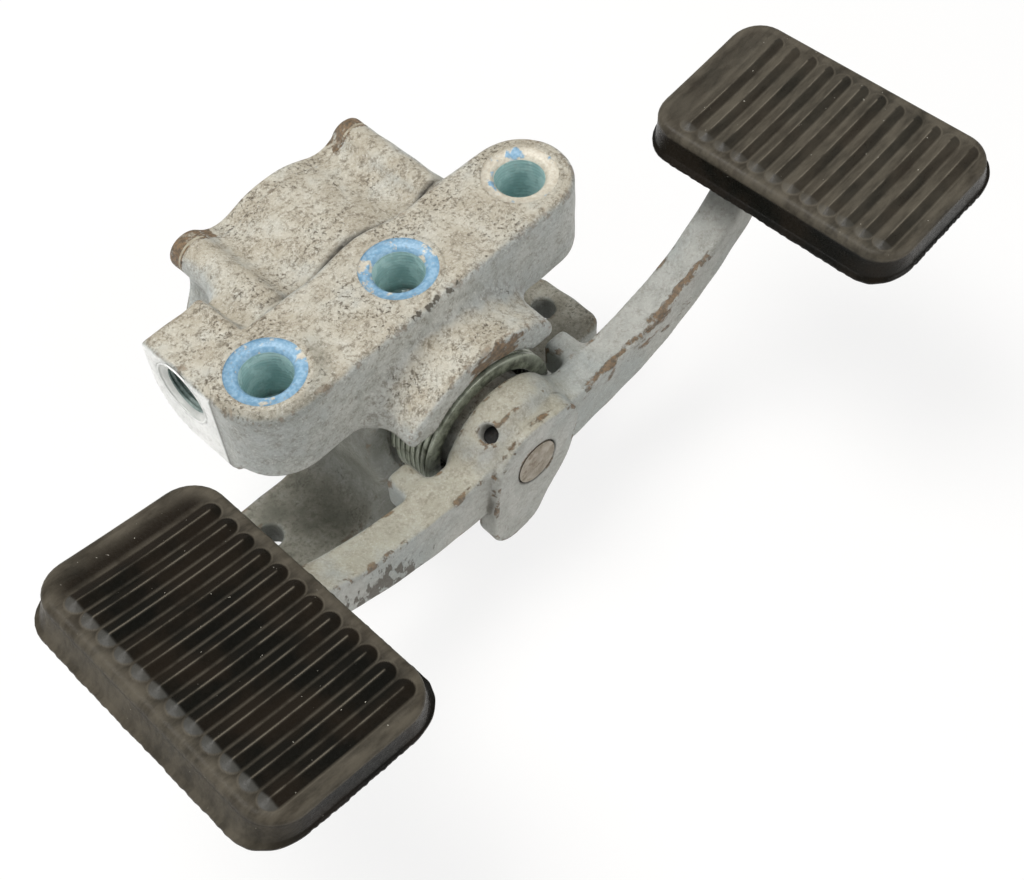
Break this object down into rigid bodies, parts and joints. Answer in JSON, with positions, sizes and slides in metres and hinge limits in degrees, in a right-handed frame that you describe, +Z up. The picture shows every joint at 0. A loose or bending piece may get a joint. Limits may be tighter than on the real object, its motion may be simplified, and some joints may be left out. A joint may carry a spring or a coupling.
{
  "type": "foot pedal air valve",
  "caption": "Foot-operated rotary air valve: a sprung rocker lever with ribbed rubber pads turns a plate valve inside a cast body with threaded ports and mounting feet.",
  "frame": {"origin": "underside of the base, midway between the two foot holes", "axes": "+X along the row of ports to the right pad, +Y to the back cover, +Z up"},
  "size_m": [0.3046, 0.1838, 0.1133],
  "materials": {
    "painted_casting": "pale grey paint, grimy and worn on the upper faces",
    "painted_cover": "pale grey paint with tan grime",
    "painted_lever": "pale grey paint, chipped to rust on the edges",
    "gasket_fibre": "matt fibre sheet",
    "fastener_steel": "dull, rust tinted",
    "bright_steel": "plain ground",
    "shaft_steel": "turned end, stained",
    "spring_steel": "oily dark",
    "bronze": "machined",
    "seal_rubber": "matt",
    "pad_rubber": "worn, dusty on the tread"
  },
  "bodies": {
    "frame": {"valve_body": "painted_casting", "rear_cover": "painted_cover", "cover_gasket": "gasket_fibre", "cover_screws": "fastener_steel", "cover_washers": "fastener_steel", "seat_plate": "bronze", "seat_dowels": "bright_steel", "seat_seals": "seal_rubber", "spring_backing_ring": "bright_steel", "front_bush": "bronze", "inner_bush": "bronze", "shaft_seal": "seal_rubber", "thrust_washer": "bronze", "centring_spring": "spring_steel"},
    "rocker": {"rocker_lever": "painted_lever", "lever_pin": "fastener_steel", "pivot_shaft": "shaft_steel", "shaft_clip": "bright_steel", "rotor": "bronze", "rotor_spring": "bright_steel", "left_pad": "pad_rubber", "right_pad": "pad_rubber"}
  },
  "joints": [
    {"name": "rocker_tilt", "type": "hinge", "parent": "frame", "child": "rocker", "pos_m": [0, -0.0434, 0.046], "axis": [0, -1, 0], "range_deg": [-15, 15], "stiffness_Nm_per_rad": 20, "deforming": ["centring_spring"]}
  ]
}
